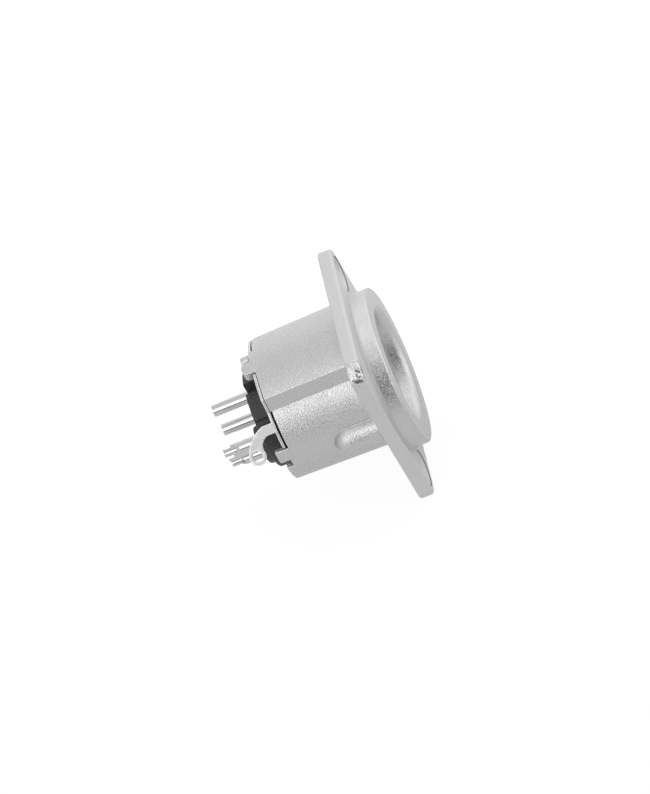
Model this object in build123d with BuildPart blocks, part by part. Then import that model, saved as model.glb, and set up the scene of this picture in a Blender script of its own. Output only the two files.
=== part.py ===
# Five-pole round panel socket with pins, in a nickel-plated cast shell with a rectangular flange.
# The front faces -Y, the key side is up (+Z), and the origin is the middle of the flange's back face.
# Sizes are in millimetres. A clock angle is in degrees from the top, towards +X.
import os
from math import cos, degrees, radians, sin, tan

from build123d import *

# Flange
flange_width = 26.0
flange_height = 31.0
flange_thickness = 2.1
flange_corner = 2.5
flange_front_round = 0.45
flange_back_round = 0.2
hole_edge = 3.5
hole_dia = 3.2
sink_dia = 5.5
sink_angle = 90.0

# Front ring and the bore behind it
ring_wall = 3.425
ring_height = 2.6
ring_lip_round = 0.4
ring_foot_round = 0.35
mouth_round = 1.05
bore_dia = 16.9

# Barrel behind the flange: drafted, thicker over its upper right part, with a flat facet at each end of that
low_wall = 1.1
roof_extra_thickness = 1.45
draft_angle = 1.45
roof_left = -29.0
roof_right = 90.0
facet_span = 10.0

# Rear end of the barrel, measured from the flange's back face
shoulder_y = 11.0
pocket_ledge_depth = 0.55
roof_rim_y = 13.63
far_rim_y = 13.48
low_rim_y = 13.4
wall_rim_y = 15.0
wall_left = -96.0
notch_left = -87.5
notch_y = 13.95

# Stakes and peg that hold the rear plate; the top stake and the peg share a land as high as its back
left_stake_clock = -80.5
right_stake_clock = 80.5
stake_width = 2.1
stake_depth = 0.8
top_stake_depth = 1.5
stake_root = 0.45
stake_end_y = 15.55
stake_round = 0.36
top_stake_round = 0.85
land_left = -6.0
land_right = 16.5
land_depth = 0.9
peg_clock = 12.8
peg_inset = 0.8
peg_dia = 1.45
peg_end_y = 15.5
peg_round = 0.2

# Latch recess in the bore, under the thick part
latch_width = 5.6
latch_depth = 1.4
latch_length = 5.0
latch_lip = 3.2

# Side boss on the left of the barrel, with a ball-shaped rear end
boss_radius = 2.35
boss_reach = 11.8
boss_length = 7.15

# Contacts
contact_count = 5
contact_pitch = 50.0
contact_circle_radius = 4.3
pin_dia = 2.0
pin_tip_y = -1.3
pin_tip_round = 0.8
collar_dia = 2.7
collar_y = 12.0
collar_length = 1.0
cup_dia = 1.8
cup_end_y = 23.2
cup_bore_dia = 1.1
cup_bore_depth = 4.0
scoop_length = 1.3
scoop_offset = 0.05
scoop_slope_angle = 33.0
scoop_turn = 33.0

# Insulator
pocket_fit = 0.05
rim_gap = 0.12
contact_fit = 0.02
hub_rim = 1.7
hub_end_y = 16.75
hub_round = 0.35
key_width = 2.0
key_depth = 2.0
groove_clock = -42.5
groove_width = 0.3
groove_depth = 0.7
platform_width = 4.2
platform_end_y = 17.8
platform_round = 0.3

# Rear plate and its solder lug; lug sizes are across from the lug's clock angle and rearwards from the plate
plate_thickness = 0.4
plate_inset = 0.12
plate_gap = 0.1
lug_clock = -45.0
lug_left = 0.49
lug_right = 1.99
lug_neck_left = 1.5
lug_neck_right = 1.2
lug_bend_left_across = 1.45
lug_bend_left_rise = 3.2
lug_bend_right_across = 2.6
lug_bend_right_rise = 2.1
lug_cheek_across = 3.75
lug_cheek_rise = 4.8
lug_chin_across = 3.9
lug_chin_rise = 2.45
lug_eye_across = 4.27
lug_eye_rise = 3.62
lug_eye_dia = 2.56
lug_hole_dia = 1.5

# Worked out from the sizes above
hole_x = flange_width / 2 - hole_edge
hole_z = flange_height / 2 - hole_edge
ring_dia = bore_dia + 2 * ring_wall
pocket_dia = bore_dia + 2 * pocket_ledge_depth
low_radius = pocket_dia / 2 + low_wall
roof_radius = low_radius + roof_extra_thickness
hub_dia = pocket_dia - 2 * hub_rim
flange_front_y = -flange_thickness
ring_front_y = flange_front_y - ring_height
facet_left = roof_left - facet_span
facet_right = roof_right + facet_span
insulator_dia = pocket_dia - 2 * pocket_fit
insulator_back_y = roof_rim_y + rim_gap
plate_back_y = insulator_back_y + plate_thickness
first_contact_clock = 180.0 - contact_pitch * (contact_count - 1) / 2
contact_clocks = [first_contact_clock + contact_pitch * n for n in range(contact_count)]
rearward = (0, 1, 0)


def station(y):
    """The plane square to the axis, y behind the flange's back face; its x is X and its y is Z."""
    return Plane.XZ.offset(-y)


def on_clock(radius, clock):
    """A point at a radius and clock angle about the axis."""
    return (radius * sin(radians(clock)), radius * cos(radians(clock)))


def clock_place(radius, clock):
    """A place at a radius and clock angle, turned so that its own y points away from the axis."""
    return Location((*on_clock(radius, clock), 0), (0, 0, -clock))


def inward_plane(radius, clock, y):
    """The plane at a place on the barrel's side that faces the axis, with its y rearwards."""
    x, z = on_clock(radius, clock)
    across = on_clock(1, clock - 90)
    facing = on_clock(1, clock + 180)
    return Plane(origin=(x, y, z), x_dir=(across[0], 0, across[1]), z_dir=(facing[0], 0, facing[1]))


def lengthwise_plane(centre, clock):
    """The plane along the axis through a centre; its x is rearwards and its y points to a clock angle."""
    across = on_clock(1, clock + 90)
    return Plane(origin=(centre[0], 0, centre[1]), x_dir=rearward, z_dir=(across[0], 0, across[1]))


def clock_arc(radius, start, end):
    """An arc about the axis, from one clock angle on to a larger one."""
    return CenterArc((0, 0), radius, 90 - end, end - start)


def drafted(radius, y):
    """A barrel radius at a station: the barrel narrows towards the rear."""
    return radius - y * tan(radians(draft_angle))


def barrel_section(y, inset=0.0):
    """The barrel's outline at a station: a thick part and a thin part, joined by two flat facets."""
    roof = drafted(roof_radius, y) - inset
    low = drafted(low_radius, y) - inset
    with BuildSketch(station(y)) as section:
        with BuildLine():
            clock_arc(roof, roof_left, roof_right)
            Line(on_clock(roof, roof_right), on_clock(low, facet_right))
            clock_arc(low, facet_right, facet_left + 360)
            Line(on_clock(low, facet_left), on_clock(roof, roof_left))
        make_face()
    return section.sketch


def sector(y, start, end, inner, outer):
    """A ring sector at a station, between two clock angles and two radii."""
    with BuildSketch(station(y)) as area:
        with BuildLine():
            clock_arc(outer, start, end)
            Line(on_clock(outer, end), on_clock(inner, end))
            clock_arc(inner, start, end)
            Line(on_clock(inner, start), on_clock(outer, start))
        make_face()
    return area.sketch


def disc(y, radius, centre=(0, 0)):
    """A round section at a station."""
    with BuildSketch(station(y)) as round_section:
        with Locations(centre):
            Circle(radius)
    return round_section.sketch


def turned_contact(clock, fit=0.0):
    """One turned contact at its place, grown by a fit all round: pin, collar and a solid tail."""
    x, z = on_clock(contact_circle_radius, clock)
    pin = pin_dia / 2 + fit
    collar = collar_dia / 2 + fit
    tail = cup_dia / 2 + fit
    tip_y = pin_tip_y - fit
    collar_start = collar_y - fit
    collar_end = collar_y + collar_length + fit
    with BuildPart() as turned:
        with BuildSketch(Plane(origin=(x, 0, z))):
            with BuildLine():
                Polyline(
                    (0, tip_y),
                    (pin, tip_y),
                    (pin, collar_start),
                    (collar, collar_start),
                    (collar, collar_end),
                    (tail, collar_end),
                    (tail, cup_end_y),
                    (0, cup_end_y),
                    close=True,
                )
            make_face()
        revolve(axis=Axis((x, 0, z), rearward))
    return turned.part


def circle_at(shape, y, radius):
    """The circular edge of a shape at a station whose radius is nearest to the one given."""
    edges = shape.edges().filter_by(GeomType.CIRCLE).filter_by_position(Axis.Y, y - 0.01, y + 0.01)
    return edges.sort_by(lambda edge: abs(edge.radius - radius))[0]


# Stakes: each has a clock angle, the radius of its outer face and its depth, and the plate is notched
# round its root.
roof_rim_radius = drafted(roof_radius, roof_rim_y)
land_radius = roof_rim_radius - land_depth
stakes = (
    (left_stake_clock, drafted(low_radius, low_rim_y), stake_depth),
    (0, roof_rim_radius, top_stake_depth),
    (right_stake_clock, roof_rim_radius, stake_depth),
)
peg_centre = on_clock(roof_rim_radius - peg_inset, peg_clock)

# Shell: flange, ring, barrel, side boss, stakes and peg are one casting.
with BuildPart() as shell:
    with BuildSketch(station(0)):
        RectangleRounded(flange_width, flange_height, flange_corner)
    extrude(amount=flange_thickness)
    fillet(shell.faces().sort_by(Axis.Y)[0].edges(), flange_front_round)
    fillet(shell.faces().sort_by(Axis.Y)[-1].edges(), flange_back_round)

    extrude(disc(flange_front_y, ring_dia / 2), amount=ring_height)
    fillet(circle_at(shell, ring_front_y, ring_dia / 2), ring_lip_round)
    fillet(circle_at(shell, flange_front_y, ring_dia / 2), ring_foot_round)

    loft([barrel_section(0), barrel_section(wall_rim_y)], ruled=True)

    # The boss is a half-round ridge along the barrel, and its rear end is a quarter of a ball.
    boss_centre = (boss_radius - boss_reach, 0)
    boss_end_y = boss_length - boss_radius
    extrude(disc(0, boss_radius, boss_centre), amount=boss_end_y, dir=rearward)
    with Locations((boss_centre[0], boss_end_y, boss_centre[1])):
        Sphere(boss_radius)

    # The rim is lower where the plate lies over it, and a notch parts the left stake from the tall wall.
    for start, end, level in (
        (facet_left, land_right, roof_rim_y),
        (land_right, facet_right, far_rim_y),
        (notch_left, facet_left, low_rim_y),
        (wall_left, notch_left, notch_y),
    ):
        cutter = sector(level, start, end, hub_dia / 4, roof_radius + 1)
        extrude(cutter, amount=wall_rim_y - level + 1, dir=rearward, mode=Mode.SUBTRACT)

    bore = disc(ring_front_y, bore_dia / 2)
    extrude(bore, amount=wall_rim_y - ring_front_y, dir=rearward, mode=Mode.SUBTRACT)
    pocket = disc(shoulder_y, pocket_dia / 2)
    extrude(pocket, amount=wall_rim_y - shoulder_y, dir=rearward, mode=Mode.SUBTRACT)
    fillet(circle_at(shell, ring_front_y, bore_dia / 2), mouth_round)

    # The latch recess starts behind a lip, so that a plug's latch can hook behind it.
    with BuildSketch(station(ring_front_y + latch_lip)):
        with Locations((0, bore_dia / 2)):
            Rectangle(latch_width, 2 * latch_depth)
    extrude(amount=latch_length, dir=rearward, mode=Mode.SUBTRACT)

    # The two screw holes lie on one diagonal.
    with Locations(station(flange_front_y)):
        with Locations((hole_x, hole_z), (-hole_x, -hole_z)):
            CounterSinkHole(hole_dia / 2, sink_dia / 2, flange_thickness, sink_angle)

    # Each stake stands on the rim and hooks over the plate's edge. The top one shares a land with the peg.
    land = sector(roof_rim_y, land_left, land_right, land_radius, roof_rim_radius)
    extrude(land, amount=plate_back_y - roof_rim_y, dir=rearward)
    for clock, outer, hook_depth in stakes:
        for foot_y, depth in ((low_rim_y, stake_root), (plate_back_y, hook_depth)):
            with BuildSketch(station(foot_y)):
                with Locations(clock_place(outer - depth / 2, clock)):
                    Rectangle(stake_width, depth)
            extrude(amount=stake_end_y - foot_y, dir=rearward)
    end_edges = shell.edges().filter_by_position(Axis.Y, stake_end_y - 0.01, stake_end_y + 0.01)
    fillet(end_edges.filter_by(Axis.Z), top_stake_round)
    stake_ends = shell.faces().filter_by_position(Axis.Y, stake_end_y - 0.01, stake_end_y + 0.01)
    side_ends = stake_ends.sort_by(Axis.X)
    fillet(side_ends[0].edges() + side_ends[-1].edges(), stake_round)

    extrude(disc(roof_rim_y, peg_dia / 2, peg_centre), amount=peg_end_y - roof_rim_y, dir=rearward)
    fillet(circle_at(shell, peg_end_y, peg_dia / 2), peg_round)
shell.part.label = "shell"

# Insulator: one black moulding that fills the shell's pocket and carries the contacts.
with BuildPart() as insulator:
    extrude(disc(shoulder_y, insulator_dia / 2), amount=insulator_back_y - shoulder_y, dir=rearward)
    extrude(disc(insulator_back_y, hub_dia / 2), amount=hub_end_y - insulator_back_y, dir=rearward)
    fillet(circle_at(insulator, hub_end_y, hub_dia / 2), hub_round)

    # A raised curved platform joins the feet of the solder cups, all but the first.
    with BuildSketch(station(hub_end_y)):
        with BuildLine(mode=Mode.PRIVATE):
            cup_line = clock_arc(contact_circle_radius, contact_clocks[1], contact_clocks[-1])
        SlotArc(cup_line, platform_width)
    extrude(amount=platform_end_y - hub_end_y, dir=rearward)
    fillet(insulator.faces().sort_by(Axis.Y)[-1].edges(), platform_round)

    # The key slot runs along the top of the hub, and a fine groove along its side.
    with BuildSketch(station(insulator_back_y)):
        with Locations((0, hub_dia / 2)):
            Rectangle(key_width, 2 * key_depth)
        with Locations(clock_place(hub_dia / 2, groove_clock)):
            Rectangle(groove_width, 2 * groove_depth)
    extrude(amount=hub_end_y - insulator_back_y, dir=rearward, mode=Mode.SUBTRACT)

    for clock in contact_clocks:
        add(turned_contact(clock, contact_fit), mode=Mode.SUBTRACT)
insulator.part.label = "insulator"

# Rear plate: nickel sheet that lies on the rim round the hub, with a solder lug bent up from its edge.
plate_low_radius = drafted(low_radius, insulator_back_y) - plate_inset
with BuildPart() as ground_plate:
    extrude(barrel_section(insulator_back_y, plate_inset), amount=plate_thickness, dir=rearward)
    # Beside the tall wall the plate is small enough to lie in the pocket, from the left stake on.
    walled_radius = pocket_dia / 2 - plate_gap
    walled_end = (left_stake_clock + notch_left) / 2 + 360
    walled = sector(insulator_back_y, facet_right, walled_end, walled_radius, roof_radius)
    extrude(walled, amount=plate_thickness, dir=rearward, mode=Mode.SUBTRACT)
    gap_angle = degrees(plate_gap / roof_rim_radius)
    landed = sector(
        insulator_back_y, land_left - gap_angle, land_right + gap_angle, land_radius - plate_gap, roof_radius
    )
    extrude(landed, amount=plate_thickness, dir=rearward, mode=Mode.SUBTRACT)
    with BuildSketch(station(insulator_back_y)):
        Circle(hub_dia / 2 + plate_gap)
        for clock, outer, _ in stakes:
            with Locations(clock_place(outer, clock)):
                Rectangle(stake_width + 2 * plate_gap, 2 * (stake_root + plate_gap))
        with Locations(peg_centre):
            Circle(peg_dia / 2 + plate_gap)
    extrude(amount=plate_thickness, dir=rearward, mode=Mode.SUBTRACT)

    # The lug's arm rises from the plate and bends sideways, and its end is a round eye.
    with BuildSketch(inward_plane(plate_low_radius, lug_clock, plate_back_y)):
        neck_left = (lug_left, lug_neck_left)
        neck_right = (lug_right, lug_neck_right)
        bend_left = (lug_bend_left_across, lug_bend_left_rise)
        bend_right = (lug_bend_right_across, lug_bend_right_rise)
        cheek = (lug_cheek_across, lug_cheek_rise)
        chin = (lug_chin_across, lug_chin_rise)
        with BuildLine():
            Line((lug_right, -plate_thickness), (lug_left, -plate_thickness))
            Line((lug_left, -plate_thickness), neck_left)
            ThreePointArc(neck_left, bend_left, cheek)
            Line(cheek, chin)
            ThreePointArc(chin, bend_right, neck_right)
            Line(neck_right, (lug_right, -plate_thickness))
        make_face()
        with Locations((lug_eye_across, lug_eye_rise)):
            Circle(lug_eye_dia / 2)
            Circle(lug_hole_dia / 2, mode=Mode.SUBTRACT)
    extrude(amount=plate_thickness)
ground_plate.part.label = "ground_plate"

os.makedirs("parts", exist_ok=True)
for piece in (shell, insulator, ground_plate):
    export_step(piece.part, f"parts/{piece.part.label}.step")

# Contacts: turned pins, each with a bored solder cup whose end is cut open on one side, with a sloped start.
scoop_y = cup_end_y - scoop_length
scoop_start_y = scoop_y - cup_dia / tan(radians(scoop_slope_angle))
for number, clock in enumerate(contact_clocks, 1):
    with BuildPart() as contact:
        add(turned_contact(clock))
        fillet(circle_at(contact, pin_tip_y, pin_dia / 2), pin_tip_round)
        centre = on_clock(contact_circle_radius, clock)
        extrude(disc(cup_end_y, cup_bore_dia / 2, centre), amount=cup_bore_depth, mode=Mode.SUBTRACT)
        with BuildSketch(lengthwise_plane(centre, clock + scoop_turn)):
            with BuildLine():
                Polyline(
                    (cup_end_y, scoop_offset),
                    (scoop_y, scoop_offset),
                    (scoop_start_y, scoop_offset + cup_dia),
                    (cup_end_y, scoop_offset + cup_dia),
                    close=True,
                )
            make_face()
        extrude(amount=cup_dia / 2, both=True, mode=Mode.SUBTRACT)
    contact.part.label = f"contact_{number}"
    export_step(contact.part, f"parts/{contact.part.label}.step")
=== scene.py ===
# %% [markdown]
# # A round panel socket in satin nickel
#
# The object is a round connector that bolts into a panel: a die-cast shell with a rectangular
# flange, a black insulator, five plated contacts, and a sheet earth plate with a solder lug.
# The CAD pieces already have their exact shape, so this lesson is about surfaces: how a plated
# casting, a pressed sheet, a turned contact and a moulded plastic each catch the light.
#
# Everything is in metres, in the frame of the CAD model. +Y points to the rear along the bore,
# +Z points up, and the origin is the middle of the flange's back face.

from math import cos, pi, radians, sin

import bpy
from mathutils import Matrix, Vector


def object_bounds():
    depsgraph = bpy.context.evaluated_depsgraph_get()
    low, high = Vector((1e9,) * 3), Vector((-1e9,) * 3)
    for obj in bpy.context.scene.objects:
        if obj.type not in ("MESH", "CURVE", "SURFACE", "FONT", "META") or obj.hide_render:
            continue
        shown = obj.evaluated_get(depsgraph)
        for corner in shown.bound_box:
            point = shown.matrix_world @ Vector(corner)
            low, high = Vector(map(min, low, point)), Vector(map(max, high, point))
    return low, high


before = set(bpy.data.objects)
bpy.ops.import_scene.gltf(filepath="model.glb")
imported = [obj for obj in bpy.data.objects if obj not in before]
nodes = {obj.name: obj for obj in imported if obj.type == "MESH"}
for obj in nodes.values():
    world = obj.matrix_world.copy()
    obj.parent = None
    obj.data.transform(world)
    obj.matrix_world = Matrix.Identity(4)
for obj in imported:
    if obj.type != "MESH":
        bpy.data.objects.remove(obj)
cad_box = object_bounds()
MM = 0.001
print("pieces from the CAD model:", ", ".join(sorted(nodes)))

# %% [markdown]
# ## Colours
#
# A colour picker gives sRGB values, and a shader wants linear light. One function turns a hex
# value into linear, so that every material below is written in the colours that one sees.

# %% From hex to linear


def linear(hex_colour):
    """An sRGB hex colour as linear RGBA."""
    channels = [int(hex_colour[i : i + 2], 16) / 255 for i in (1, 3, 5)]
    straight = [c / 12.92 if c <= 0.04045 else ((c + 0.055) / 1.055) ** 2.4 for c in channels]
    return (*straight, 1.0)


print("a light grey in linear light:", [round(c, 3) for c in linear("#CFCFCF")[:3]])

# %% [markdown]
# ## Node helpers
#
# A material is a tree of nodes. One small function adds a node, sets what it is given and links
# its inputs, which keeps each material as short as a recipe. A pattern's scale is a count per
# metre, so another function works it out from a real size in millimetres.

# %% Node helpers


def add_node(tree, kind, inputs=None, output=0, **settings):
    """Adds a node, fills its inputs with values or other nodes' sockets, and returns an output."""
    node = tree.nodes.new("ShaderNode" + kind)
    for name, value in settings.items():
        setattr(node, name, value)
    for key, value in (inputs or {}).items():
        if isinstance(value, bpy.types.NodeSocket):
            tree.links.new(value, node.inputs[key])
        else:
            node.inputs[key].default_value = value
    return node.outputs[output] if len(node.outputs) else None


def new_material(name):
    """An empty material, its tree, and the place on the object in metres."""
    material = bpy.data.materials.new(name)
    material.use_nodes = True
    tree = material.node_tree
    tree.nodes.clear()
    return material, tree, add_node(tree, "TexCoord", output="Object")


def per_mm(size_mm):
    """A texture scale for a pattern of this size in millimetres."""
    return 1 / (size_mm * MM)


print("a 0.3 mm grain has a scale of", round(per_mm(0.3)), "per metre")

# %% [markdown]
# ## Soft edges
#
# No plated edge is sharp: the mould, the tumbling drum and the plating itself leave it a tenth or
# two of a millimetre round, and that narrow band catches a lamp wherever it runs. The meshes have
# sharp edges there. A bevel modifier would round them with thousands of new faces, so the shader
# does it instead: a Bevel node turns the normals near each edge. Where its normal differs from
# the face's own, there is an edge, and the difference makes a mask for rubbed metal, along which
# the colour is painted brighter as a highlight.

# %% Soft edges
SAMPLES = 8
RUBBED_AND_HIGHLIT_COSINE = 0.88


def soft_edge(tree, radius_mm, full=RUBBED_AND_HIGHLIT_COSINE):
    """The rounded normal, and a mask that is 1 where its cosine with the face's own is full."""
    rounded = add_node(tree, "Bevel", {"Radius": radius_mm * MM}, samples=SAMPLES)
    flat = add_node(tree, "NewGeometry", output="Normal")
    normals = {0: rounded, 1: flat}
    alike = add_node(tree, "VectorMath", normals, output="Value", operation="DOT_PRODUCT")
    return rounded, add_node(tree, "MapRange", {"Value": alike, "From Min": 1.0, "From Max": full})


print("an edge is fully rubbed where the normals' cosine is", RUBBED_AND_HIGHLIT_COSINE)

# %% [markdown]
# ## Satin nickel on a die casting
#
# The shell is zinc, pressed molten into a steel mould, tumbled, and plated in a nickel bath that
# leaves a pearly grain. Nickel is a metal: it has no diffuse part, so its light grey goes to the
# base colour, and all that we see is the room, spread out by the surface. Three sizes of
# unevenness spread it. What is far finer than a pixel is roughness. The pearly grain is really
# about 0.1 mm wide, and a pixel here is 0.14 mm, so it is drawn 0.15 mm wide, just coarse enough
# to show. The swell, some millimetres wide, is what every mould leaves on a face that should be
# flat.
#
# The grain could be a real displacement, but at this size it would take millions of faces. A
# bump node turns the shading normal instead, and costs nothing. It shows most where the light
# changes fast, on the flank of a highlight, and least under an even light, just as the real one.

# %% Grain and swell of the casting
GRAIN = 0.15
GRAIN_HEIGHT = 0.068
SWELL = 4.5
SWELL_HEIGHT = 0.1


def cast_unevenness(tree, place):
    """The pearly grain and the swell, each as a pattern from 0 to 1."""
    grain = {"Vector": place, "Scale": per_mm(GRAIN), "Detail": 1.0}
    swell = {"Vector": place, "Scale": per_mm(SWELL), "Detail": 2.0}
    return add_node(tree, "TexNoise", grain), add_node(tree, "TexNoise", swell)


print("grain", GRAIN, "mm and swell", SWELL, "mm wide")

# %% [markdown]
# The casting isn't the same all over. The flange's sides are left as they come from the mould,
# and look matt. The ring in front of it is burnished, because a plug's collar rubs there, and the
# bore is dull, because little plating reaches it. The barrel lies between them. One corner of the
# flange is knocked, and a dark line is painted just inside the rim of each countersink, as shade
# at its sharp edge.
#
# Each of these could be a material of its own on its own faces, but then a border would be as
# sharp as a mesh edge. Here one material holds a mask for each, and a mask follows a length: how
# far along the axis, how far out from it, how far from the corner or from the nearest hole. It
# runs from 0 at the first number to 1 at the second.

# %% Masks for the parts of the casting
CORNER = (cad_box[0].x + 0.9 * MM, -1.05 * MM, cad_box[1].z - 0.4 * MM)
SCREW_HOLES = ((9.5, 12.0), (-9.5, -12.0))
MASK_ENDS_MM = {
    "flange and ring": (0.1, -0.1),
    "ring": (-2.2, -2.6),
    "bore": (8.75, 8.55),
    "corner": (2.6, 1.3),
    "before the back": (0.0, -0.2),
    "inside the rim": (2.8, 2.75),
    "near the rim": (2.59, 2.67),
}


def casting_masks(tree, place):
    """A mask for each part of the casting that looks different from the barrel."""
    along = add_node(tree, "SeparateXYZ", {"Vector": place}, output="Y")
    across = add_node(tree, "VectorMath", {0: place, 1: (1, 0, 1)}, operation="MULTIPLY")
    out = add_node(tree, "VectorMath", {0: across}, output="Value", operation="LENGTH")
    points = [(place, CORNER)] + [(across, (x * MM, 0, z * MM)) for x, z in SCREW_HOLES]
    from_corner, *from_holes = [
        add_node(tree, "VectorMath", {0: start, 1: point}, output="Value", operation="DISTANCE")
        for start, point in points
    ]
    from_hole = add_node(tree, "Math", dict(enumerate(from_holes)), operation="MINIMUM")
    lengths = (along, along, out, from_corner, along, from_hole, from_hole)
    masks = {}
    for length, (name, (start, end)) in zip(lengths, MASK_ENDS_MM.items()):
        inputs = {"Value": length, "From Min": start * MM, "From Max": end * MM}
        masks[name] = add_node(tree, "MapRange", inputs)

    parts = {0: masks["flange and ring"], 1: masks["ring"]}
    masks["flange"] = add_node(tree, "Math", parts, operation="SUBTRACT")
    # The countersink mask is painted shade, darker just inside each hole's rim.
    masks["countersink line"] = masks["before the back"]
    for name in ("inside the rim", "near the rim"):
        parts = {0: masks["countersink line"], 1: masks[name]}
        masks["countersink line"] = add_node(tree, "Math", parts, operation="MULTIPLY")
    return masks


print("masks by length:", ", ".join(MASK_ENDS_MM))

# %% [markdown]
# The flange's corner at the upper left has been knocked, in the drum or in a drawer: for some two
# millimetres round it the metal is dented and burnished, and it shows as bright blots with dark
# specks. The specks are painted darker in the deepest dents, as dark reflections. The dents could
# be sculpted, but the CAD mesh stays as it is. One coarse noise makes both the dents and the
# painted specks in them.

# %% The knocked corner
DENT = 0.9
DENT_DEPTH = 0.35
PIT_START, PIT_END = 0.44, 0.36


def dents(tree, place, near_corner):
    """The height of the dents round the knocked corner, and the painted dark specks in them."""
    lumps = add_node(tree, "TexNoise", {"Vector": place, "Scale": per_mm(DENT), "Detail": 1.0})
    pits = add_node(tree, "MapRange", {"Value": lumps, "From Min": PIT_START, "From Max": PIT_END})
    height = add_node(tree, "Math", {0: near_corner, 1: lumps}, operation="MULTIPLY")
    painted_dark_specks = add_node(tree, "Math", {0: near_corner, 1: pits}, operation="MULTIPLY")
    return height, painted_dark_specks


print("dents round", [round(c / MM, 1) for c in CORNER], "mm")

# %% [markdown]
# The ring has some draft, so that the mould lets it go, and the bore flares to lead the plug in.
# The shape is straight there, so the shading normal leans forward instead. It leans by about 15
# degrees, more than a real draft, because the reflections in the photograph ask for it.

# %% Draft of the ring and the bore
RING_LEAN = 0.26
BORE_LEAN = 0.3


def leant_forward(tree, normal, masks):
    """The normal, tipped forward on the ring and in the bore."""
    on_ring = add_node(tree, "Math", {0: masks["ring"], 1: RING_LEAN}, operation="MULTIPLY")
    in_bore = add_node(tree, "Math", {0: masks["bore"], 1: BORE_LEAN}, operation="MULTIPLY")
    amount = add_node(tree, "Math", {0: on_ring, 1: in_bore}, operation="MAXIMUM")
    lean = add_node(tree, "VectorMath", {0: (0, -1, 0), "Scale": amount}, operation="SCALE")
    leant = add_node(tree, "VectorMath", {0: normal, 1: lean}, operation="ADD")
    return add_node(tree, "VectorMath", {0: leant}, operation="NORMALIZE")


print("lean: ring", RING_LEAN, "bore", BORE_LEAN)

# %% [markdown]
# Now the finish comes together. Satin nickel plate is typically 0.25 to 0.35 rough, and the
# barrel's highlight in the photograph is as wide as 0.27 makes it. The other parts add to that or
# take from it.
#
# At the foot of a step the colour is painted darker, as shade, and that draws a thin dark line
# round the ring and the boss. The shade could be painted by hand, but the Ambient Occlusion node
# finds such places by itself: it tells how much of the sky a point can see within a distance.

# %% Satin nickel casting
CAST_EDGE = 0.22
BARREL_ROUGHNESS = 0.27
ROUGHNESS_SPREAD = 0.02
ROUGHNESS_CHANGES = {"flange": 0.4, "ring": -0.04, "bore": 0.04, "corner": -0.5}
CREASE = 0.7
OPEN_SKY, CREASE_SKY = 0.8, 0.58


def satin_nickel_casting():
    """The shell's finish."""
    material, tree, place = new_material("satin_nickel_casting")
    masks = casting_masks(tree, place)
    rounded, rubbed_and_highlit = soft_edge(tree, CAST_EDGE)
    grain, swell = cast_unevenness(tree, place)
    dent_height, painted_dark_specks = dents(tree, place, masks["corner"])

    normal = leant_forward(tree, rounded, masks)
    reliefs = ((swell, SWELL_HEIGHT), (dent_height, DENT_DEPTH), (grain, GRAIN_HEIGHT))
    for height, depth in reliefs:
        inputs = {"Height": height, "Distance": depth * MM, "Normal": normal}
        normal = add_node(tree, "Bump", inputs)

    smooth, rough = BARREL_ROUGHNESS - ROUGHNESS_SPREAD, BARREL_ROUGHNESS + ROUGHNESS_SPREAD
    roughness = add_node(tree, "MapRange", {"Value": grain, "To Min": smooth, "To Max": rough})
    for part, change in ROUGHNESS_CHANGES.items():
        inputs = {0: masks[part], 1: change, 2: roughness}
        roughness = add_node(tree, "Math", inputs, operation="MULTIPLY_ADD")

    inputs = {"Distance": CREASE * MM}
    sky = add_node(tree, "AmbientOcclusion", inputs, output="AO", samples=SAMPLES)
    inputs = {"Value": sky, "From Min": OPEN_SKY, "From Max": CREASE_SKY}
    # Painted shade: the colour darkens where a point sees little sky.
    painted_crease_shade = add_node(tree, "MapRange", inputs)
    tints = (
        (masks["flange"], "#DEDEDE"),
        # rubbed metal, with a painted highlight along each edge
        (rubbed_and_highlit, "#F4F4F4"),
        # painted shade in the creases
        (painted_crease_shade, "#626262"),
        # painted shade just inside each countersink's rim
        (masks["countersink line"], "#7C7C7C"),
        # painted dark specks in the dents, as dark reflections
        (painted_dark_specks, "#6C6C6C"),
    )
    colour = linear("#CFCFCF")
    for mask, tint in tints:
        inputs = {"Factor": mask, "A": colour, "B": linear(tint)}
        colour = add_node(tree, "Mix", inputs, output="Result", data_type="RGBA")

    inputs = {"Base Color": colour, "Metallic": 1.0, "Roughness": roughness, "Normal": normal}
    add_node(tree, "OutputMaterial", {"Surface": add_node(tree, "BsdfPrincipled", inputs)})
    return material


print("roughness of the flange:", BARREL_ROUGHNESS + ROUGHNESS_CHANGES["flange"])

# %% [markdown]
# ## Nickel-plated steel sheet
#
# The earth plate and its solder lug are punched from 0.4 mm steel sheet and nickel-plated. Rolled
# sheet is flatter than a casting and has faint lines along the way it was rolled. The punch
# leaves a burr, and the drum then rubs it bright. The edge mask paints the rim of the lug lighter:
# rubbed metal, and a painted highlight along it.
# The lines could be a Wave texture, but they would be too regular: a noise stretched twenty times
# along one direction looks rolled. Plated sheet is typically 0.3 to 0.5 rough, and the lines
# carry it a little past both.

# %% Plated sheet
SHEET_EDGE = 0.3
SHEET_RUBBED_AND_HIGHLIT_COSINE = 0.97
ROLLING_LINE = 0.12
ROLLING_STRETCH = 20
ROLLING_DEPTH = 0.03
ROLLING_STRENGTH = 0.8
SHEET_SMOOTH, SHEET_ROUGH = 0.26, 0.54


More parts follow.
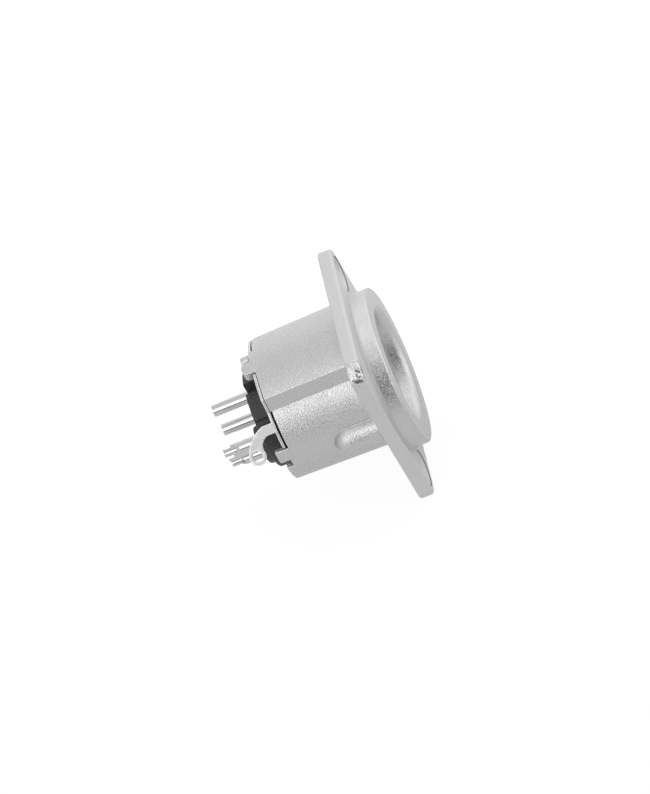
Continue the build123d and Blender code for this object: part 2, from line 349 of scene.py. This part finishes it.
def plated_sheet():
    """The earth plate's finish."""
    material, tree, place = new_material("nickel_plated_steel_sheet")
    rounded, rubbed_and_highlit = soft_edge(tree, SHEET_EDGE, SHEET_RUBBED_AND_HIGHLIT_COSINE)
    inputs = {0: place, 1: (1, 1 / ROLLING_STRETCH, 1)}
    stretched = add_node(tree, "VectorMath", inputs, operation="MULTIPLY")
    inputs = {"Vector": stretched, "Scale": per_mm(ROLLING_LINE), "Detail": 2.0}
    lines = add_node(tree, "TexNoise", inputs)
    inputs = {
        "Strength": ROLLING_STRENGTH,
        "Distance": ROLLING_DEPTH * MM,
        "Height": lines,
        "Normal": rounded,
    }
    normal = add_node(tree, "Bump", inputs)
    # rubbed metal, with a painted highlight along the rim
    inputs = {"Factor": rubbed_and_highlit, "A": linear("#BCBCBC"), "B": linear("#FFFFFF")}
    colour = add_node(tree, "Mix", inputs, output="Result", data_type="RGBA")
    inputs = {"Value": lines, "To Min": SHEET_SMOOTH, "To Max": SHEET_ROUGH}
    roughness = add_node(tree, "MapRange", inputs)
    inputs = {"Base Color": colour, "Metallic": 1.0, "Roughness": roughness, "Normal": normal}
    add_node(tree, "OutputMaterial", {"Surface": add_node(tree, "BsdfPrincipled", inputs)})
    return material


print("rolling lines", ROLLING_LINE, "mm apart")

# %% [markdown]
# ## Bright tin on turned brass
#
# The contacts are turned from brass bar and tin-plated, so they are the shiniest pieces here:
# each one mirrors the whole studio in a few narrow streaks along its length. Bright tin is
# typically 0.1 to 0.2 rough. A turning tool leaves fine rings, one per turn of the lathe. They
# are really some 0.05 mm apart and are drawn 0.15 mm apart, so that they just break the streaks.
# They could be cut into the mesh, but a noise that only sees the place along the axis makes them
# without a face, and as uneven as a real lathe does. Solder cups are also a little dull where
# they were handled, which a larger noise gives to the roughness.

# %% Tinned contacts
TURNED_EDGE = 0.06
TURNING_RING = 0.15
TURNING_DEPTH = 0.008
TURNING_STRENGTH = 0.6
HANDLED_PATCH = 2.0
TIN_SMOOTH, TIN_ROUGH = 0.12, 0.2


def bright_tin_on_brass():
    """The contacts' finish."""
    material, tree, place = new_material("bright_tin_on_turned_brass")
    rounded, _ = soft_edge(tree, TURNED_EDGE)
    along = add_node(tree, "SeparateXYZ", {"Vector": place}, output="Y")
    inputs = {"W": along, "Scale": per_mm(TURNING_RING), "Detail": 1.0}
    rings = add_node(tree, "TexNoise", inputs, noise_dimensions="1D")
    inputs = {
        "Strength": TURNING_STRENGTH,
        "Distance": TURNING_DEPTH * MM,
        "Height": rings,
        "Normal": rounded,
    }
    normal = add_node(tree, "Bump", inputs)
    inputs = {"Vector": place, "Scale": per_mm(HANDLED_PATCH), "Detail": 3.0}
    patches = add_node(tree, "TexNoise", inputs)
    inputs = {"Value": patches, "To Min": TIN_SMOOTH, "To Max": TIN_ROUGH}
    roughness = add_node(tree, "MapRange", inputs)
    inputs = {
        "Base Color": linear("#D6D6D6"),
        "Metallic": 1.0,
        "Roughness": roughness,
        "Normal": normal,
    }
    add_node(tree, "OutputMaterial", {"Surface": add_node(tree, "BsdfPrincipled", inputs)})
    return material


print("turning rings", TURNING_RING, "mm apart")

# %% [markdown]
# ## Black glass-filled nylon
#
# The insulator is moulded from black nylon with short glass fibres, which keeps its shape when a
# wire is soldered to the pin. Nylon has an IOR of 1.53, and a moulded skin with fibres in it is
# typically 0.5 to 0.6 rough. The skin is a dull dark grey, not black, and the fibres near it show
# as tiny pale specks. They could be scattered as small pieces, but a noise whose peaks alone are
# pale looks the same. A fibre is only 0.01 mm thick, so the specks are drawn 0.2 mm wide, as
# clumps of fibres that just show.

# %% Black nylon
MOULDED_EDGE = 0.1
NYLON_IOR = 1.53
FIBRE_CLUMP = 0.2
FIBRE_DEPTH = 0.02
FIBRE_STRENGTH = 0.6
SPECK_START, SPECK_END = 0.48, 0.75
NYLON_SMOOTH, NYLON_ROUGH = 0.45, 0.65


def black_nylon():
    """The insulator's finish."""
    material, tree, place = new_material("black_glass_filled_nylon")
    rounded, _ = soft_edge(tree, MOULDED_EDGE)
    inputs = {"Vector": place, "Scale": per_mm(FIBRE_CLUMP), "Detail": 2.0}
    clumps = add_node(tree, "TexNoise", inputs)
    inputs = {"Value": clumps, "From Min": SPECK_START, "From Max": SPECK_END}
    specks = add_node(tree, "MapRange", inputs)
    inputs = {"Factor": specks, "A": linear("#2B2B2C"), "B": linear("#5C5C5D")}
    colour = add_node(tree, "Mix", inputs, output="Result", data_type="RGBA")
    inputs = {
        "Strength": FIBRE_STRENGTH,
        "Distance": FIBRE_DEPTH * MM,
        "Height": clumps,
        "Normal": rounded,
    }
    normal = add_node(tree, "Bump", inputs)
    inputs = {"Value": clumps, "To Min": NYLON_SMOOTH, "To Max": NYLON_ROUGH}
    roughness = add_node(tree, "MapRange", inputs)
    inputs = {"Base Color": colour, "IOR": NYLON_IOR, "Roughness": roughness, "Normal": normal}
    add_node(tree, "OutputMaterial", {"Surface": add_node(tree, "BsdfPrincipled", inputs)})
    return material


print("fibre clumps", FIBRE_CLUMP, "mm wide")

# %% [markdown]
# ## Dressing the pieces
#
# The shapes are the CAD model's own, so each piece keeps its mesh and only gets a finish.

# %% Dress the pieces


def dress(node, material):
    """Gives a CAD piece one material."""
    nodes[node].data.materials.clear()
    nodes[node].data.materials.append(material)


dress("shell", satin_nickel_casting())
dress("insulator", black_nylon())
dress("ground_plate", plated_sheet())
contact_finish = bright_tin_on_brass()
contacts = sorted(name for name in nodes if name.startswith("contact_"))
for name in contacts:
    dress(name, contact_finish)
print("dressed the shell, the insulator, the plate and", len(contacts), "contacts")

# %% [markdown]
# ## The camera
#
# The photograph looks at the barrel's side from the upper left and a little from the front, with
# the socket's axis across the picture and its rear end to the left. A long lens far away keeps
# parallel edges parallel, as they are in the photograph. The camera could be turned by eye until
# it fits, but two directions set the view exactly: from the object to the camera, and up in the
# picture. The photograph shows 7 pixels to a millimetre, and that gives the focal length. To put
# the origin at its place in the picture, the camera moves sideways, so the lens needs no shift.

# %% Camera
CAMERA_SIDE = (-0.661, -0.153, 0.734)
IMAGE_UP = (0.728, -0.366, 0.579)
PHOTO_WIDTH, PHOTO_HEIGHT = 650, 794
ORIGIN_IN_PHOTO = (369.3, 376.4)
PIXELS_PER_MM = 7.0
CAMERA_DISTANCE = 1.6
SENSOR = 36.0

towards = Vector(CAMERA_SIDE).normalized()
right = Vector(IMAGE_UP).cross(towards).normalized()
up = towards.cross(right)
metres_per_pixel = MM / PIXELS_PER_MM
aim = -right * (ORIGIN_IN_PHOTO[0] - PHOTO_WIDTH / 2) * metres_per_pixel
aim += up * (ORIGIN_IN_PHOTO[1] - PHOTO_HEIGHT / 2) * metres_per_pixel

camera = bpy.data.objects.new("camera", bpy.data.cameras.new("camera"))
bpy.context.collection.objects.link(camera)
camera.data.sensor_width = SENSOR
camera.data.lens = SENSOR * CAMERA_DISTANCE / (PHOTO_HEIGHT * metres_per_pixel)
axes = Matrix((right, up, towards)).transposed().to_4x4()
camera.matrix_world = Matrix.Translation(aim + towards * CAMERA_DISTANCE) @ axes
bpy.context.scene.camera = camera
print("camera distance", CAMERA_DISTANCE, "m, lens", round(camera.data.lens), "mm")

# %% [markdown]
# ## The light tent
#
# Metal shows its surroundings, so a metal object is photographed in a tent of white cloth. Lamps
# shine on the cloth from outside, and each makes a patch that is brightest in the middle and fades
# out, which is why the highlights on the barrel have no hard border. Area lamps would give them
# one, so the world plays the tent: an even light, and patches that add to it or take from it.
#
# Each patch can be read from the photograph. A barrel mirrors a lamp where its surface faces
# halfway between the lamp and the camera. The bright stripe on the near side means a lamp beside
# the camera, and the light far side means one across from it. The dark patch on the ring is an
# opening in the front of the tent, and it also draws the dark line down each shiny contact. To the
# camera itself the world is plain white, as the photograph's background is.

# %% Light tent
scene = bpy.context.scene
scene.view_settings.view_transform = "Standard"


def around(clock, rearward=0.0):
    """A direction across the axis at a clock angle from +Z towards +X, tipped rearwards."""
    return Vector((sin(radians(clock)), rearward, cos(radians(clock)))).normalized()


WHITE = (1, 1, 1, 1)
TENT_BRIGHTNESS = 0.73
# direction, radius of its full brightness and of its border in degrees, and what it adds
PATCHES = {
    "lamp beside the camera": (around(-43, 0.22), 8, 27, 1.35),
    "lamp overhead": (around(-16, 0.1), 4, 28, 0.1),
    "lamp over the front": (around(10, -0.4), 8, 24, 0.75),
    "lamp at the front on the right": (around(54, -0.55), 12, 36, 0.5),
    "lamp in front": (around(-42, -3.7), 10, 36, 1.0),
    "lamp on the far side": (around(100, 0.0), 20, 52, 0.3),
    "opening in front": (around(-58, -0.5), 19, 31, -0.72),
    "seam on the left": (around(-74, 0.18), 5, 12, -0.66),
}

world = bpy.data.worlds.new("light_tent")
scene.world = world
world.use_nodes = True
tree = world.node_tree
tree.nodes.clear()
ray = add_node(tree, "TexCoord", output="Generated")
brightness = TENT_BRIGHTNESS
for direction, inner, outer, change in PATCHES.values():
    rays = {0: ray, 1: direction}
    alike = add_node(tree, "VectorMath", rays, output="Value", operation="DOT_PRODUCT")
    ends = {"From Min": cos(radians(outer)), "From Max": cos(radians(inner))}
    patch = add_node(tree, "MapRange", {"Value": alike, **ends})
    inputs = {0: patch, 1: change, 2: brightness}
    brightness = add_node(tree, "Math", inputs, operation="MULTIPLY_ADD")
tent = add_node(tree, "Background", {"Color": WHITE, "Strength": brightness})
white = add_node(tree, "Background", {"Color": WHITE, "Strength": 1.0})
to_camera = add_node(tree, "LightPath", output="Is Camera Ray")
seen = add_node(tree, "MixShader", {0: to_camera, 1: tent, 2: white})
add_node(tree, "OutputWorld", {"Surface": seen})
print("tent brightness", TENT_BRIGHTNESS, "with", len(PATCHES), "patches")

# %% [markdown]
# ## The lamp inside
#
# One lamp stands inside the tent: a tall narrow softbox behind on the left, which lights the
# boss's ball end. A patch of the tent could not, because the barrel's side would mirror it too.
# Its energy is worked out from its size and from how bright its face looks, so that a larger one
# would give softer light and not a harder glare.

# %% Lamp inside
LAMP_SIDE = Vector((-0.6, 0.65, 0.1)).normalized()
LAMP_DISTANCE = 0.5
LAMP_WIDTH, LAMP_HEIGHT = 0.05, 0.6
LAMP_BRIGHTNESS = 1.6

lamp = bpy.data.lights.new("behind_on_the_left", "AREA")
lamp.shape = "RECTANGLE"
lamp.size, lamp.size_y = LAMP_WIDTH, LAMP_HEIGHT
lamp.energy = LAMP_BRIGHTNESS * pi * LAMP_WIDTH * LAMP_HEIGHT
holder = bpy.data.objects.new("behind_on_the_left", lamp)
holder.location = LAMP_SIDE * LAMP_DISTANCE
holder.rotation_euler = LAMP_SIDE.to_track_quat("Z", "Y").to_euler()
bpy.context.collection.objects.link(holder)
print("softbox", holder.name, "with", round(lamp.energy, 3), "W")

# %% [markdown]
# ## The floor
#
# The socket lies on white paper, level with the lowest point of its flange. A single large face
# is enough, because the camera sees neither its border nor its thickness.

# %% Floor
FLOOR_HALF = 1.5
low = cad_box[0].z
signs = ((-1, -1), (1, -1), (1, 1), (-1, 1))
corners = [(x * FLOOR_HALF, y * FLOOR_HALF, low) for x, y in signs]
floor_mesh = bpy.data.meshes.new("floor")
floor_mesh.from_pydata(corners, [], [(0, 1, 2, 3)])
floor = bpy.data.objects.new("floor", floor_mesh)
bpy.context.collection.objects.link(floor)
print("floor at z", round(low / MM, 2), "mm")

# %% [markdown]
# The paper is uncoated white paper, matt and nearly pure white. Plain matt paper would look grey
# in the picture wherever less light falls on it, so most of what the camera sees of it is a glow
# of its own, which is what the photograph's background is. The rest is real paper that takes the
# object's shadow. In the metal it is mostly a glow too, and that glow is painted brighter towards
# the right, as light from the lamp on the far side. All other light meets the matt paper alone.
# From below it is clear, so that a view from under the object still shows it.

# %% White paper
CAMERA_SHARE, CAMERA_GLOW = 0.9, 1.03
MIRROR_SHARE, MIRROR_GLOW, PAINTED_RIGHT_LIGHT = 0.8, 0.7, 1.0
RIGHT_START, RIGHT_END = 0.0, 0.06

paper = bpy.data.materials.new("white_paper")
paper.use_nodes = True
tree = paper.node_tree
tree.nodes.clear()
to_camera = add_node(tree, "LightPath", output="Is Camera Ray")
to_mirror = add_node(tree, "LightPath", output="Is Glossy Ray")
place = add_node(tree, "NewGeometry", output="Position")
ends = {"From Min": RIGHT_START, "From Max": RIGHT_END, "To Min": MIRROR_GLOW, "To Max": PAINTED_RIGHT_LIGHT}
across = add_node(tree, "SeparateXYZ", {"Vector": place}, output="X")
# Painted light: the glow seen in the metal grows brighter towards +X.
mirror_glow_with_painted_light = add_node(tree, "MapRange", {"Value": across, **ends})
inputs = {0: to_camera, 1: CAMERA_GLOW - MIRROR_GLOW, 2: mirror_glow_with_painted_light}
strength = add_node(tree, "Math", inputs, operation="MULTIPLY_ADD")
mirror_share = add_node(tree, "Math", {0: to_mirror, 1: MIRROR_SHARE}, operation="MULTIPLY")
inputs = {0: to_camera, 1: CAMERA_SHARE, 2: mirror_share}
share = add_node(tree, "Math", inputs, operation="MULTIPLY_ADD")
matt = add_node(tree, "BsdfDiffuse", {"Color": linear("#FAFAFA")})
glow = add_node(tree, "Emission", {"Strength": strength})
above = add_node(tree, "MixShader", {0: share, 1: matt, 2: glow})
below = add_node(tree, "NewGeometry", output="Backfacing")
clear = add_node(tree, "BsdfTransparent")
sheet = add_node(tree, "MixShader", {0: below, 1: above, 2: clear})
add_node(tree, "OutputMaterial", {"Surface": sheet})
floor_mesh.materials.append(paper)
print("the camera sees", CAMERA_SHARE, "of the paper as a glow")
